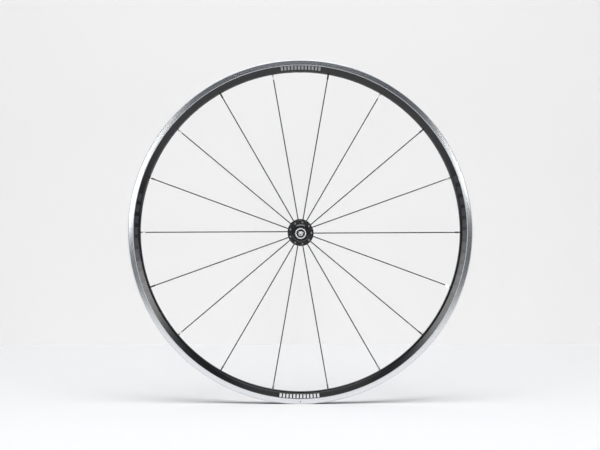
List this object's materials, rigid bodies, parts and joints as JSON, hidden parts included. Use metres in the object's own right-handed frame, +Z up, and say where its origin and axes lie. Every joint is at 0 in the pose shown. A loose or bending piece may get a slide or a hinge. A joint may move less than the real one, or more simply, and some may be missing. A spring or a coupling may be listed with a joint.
{
  "type": "bicycle wheel",
  "caption": "Front bicycle wheel for rim brakes: box-section rim, radial spokes with nipples, and a slim hub that turns on sealed ball bearings and an axle with end caps.",
  "frame": {"origin": "Centre of the wheel, on the axle midway between the two fork faces.", "axes": "+Y runs along the axle to the left side, +Z points up through the valve hole, and +X points to the right as seen from the right side."},
  "size_m": [0.633, 0.109, 0.6329],
  "materials": {
    "rim_alloy": "black anodised, with bare machined brake tracks",
    "rim_tape": "woven nylon tape",
    "hub_alloy": "black anodised",
    "cap_alloy": "black anodised, with bare turned end faces",
    "axle_alloy": "turned",
    "spoke_steel": "black coated, with bare heads",
    "nipple_plated": "nickel plated",
    "bearing_steel": "ground",
    "ring_black": "black oxide",
    "ball_steel": "polished",
    "cage_steel": "pressed",
    "seal_rubber": "moulded"
  },
  "bodies": {
    "axle_set": {"axle": "axle_alloy", "end_cap_right": "cap_alloy", "end_cap_left": "cap_alloy", "bearing_inner_ring_right": "bearing_steel", "bearing_inner_ring_left": "bearing_steel"},
    "wheel": {"rim": "rim_alloy", "rim_tape": "rim_tape", "hub_shell": "hub_alloy", "spoke_nipples": "nipple_plated", "spoke_right_01": "spoke_steel", "spoke_right_02": "spoke_steel", "spoke_right_03": "spoke_steel", "spoke_right_04": "spoke_steel", "spoke_right_05": "spoke_steel", "spoke_right_06": "spoke_steel", "spoke_right_07": "spoke_steel", "spoke_right_08": "spoke_steel", "spoke_right_09": "spoke_steel", "spoke_left_01": "spoke_steel", "spoke_left_02": "spoke_steel", "spoke_left_03": "spoke_steel", "spoke_left_04": "spoke_steel", "spoke_left_05": "spoke_steel", "spoke_left_06": "spoke_steel", "spoke_left_07": "spoke_steel", "spoke_left_08": "spoke_steel", "spoke_left_09": "spoke_steel", "bearing_outer_ring_right": "ring_black", "bearing_inner_seal_right": "seal_rubber", "bearing_outer_seal_right": "seal_rubber", "bearing_outer_ring_left": "ring_black", "bearing_inner_seal_left": "seal_rubber", "bearing_outer_seal_left": "seal_rubber"},
    "ball_set_right": {"bearing_balls_right": "ball_steel", "ball_cage_right": "cage_steel"},
    "ball_set_left": {"bearing_balls_left": "ball_steel", "ball_cage_left": "cage_steel"}
  },
  "joints": [
    {"name": "wheel_spin", "type": "hinge", "parent": "axle_set", "child": "wheel", "pos_m": [0, 0, 0], "axis": [0, 1, 0], "continuous": true},
    {"name": "ball_set_right_spin", "type": "hinge", "parent": "axle_set", "child": "ball_set_right", "pos_m": [0, -0.038, 0], "axis": [0, 1, 0], "continuous": true},
    {"name": "ball_set_left_spin", "type": "hinge", "parent": "axle_set", "child": "ball_set_left", "pos_m": [0, 0.038, 0], "axis": [0, 1, 0], "continuous": true}
  ],
  "couplings": [
    {"joint": "ball_set_right_spin", "follows": "wheel_spin", "ratio": 0.58611},
    {"joint": "ball_set_left_spin", "follows": "wheel_spin", "ratio": 0.58611}
  ]
}
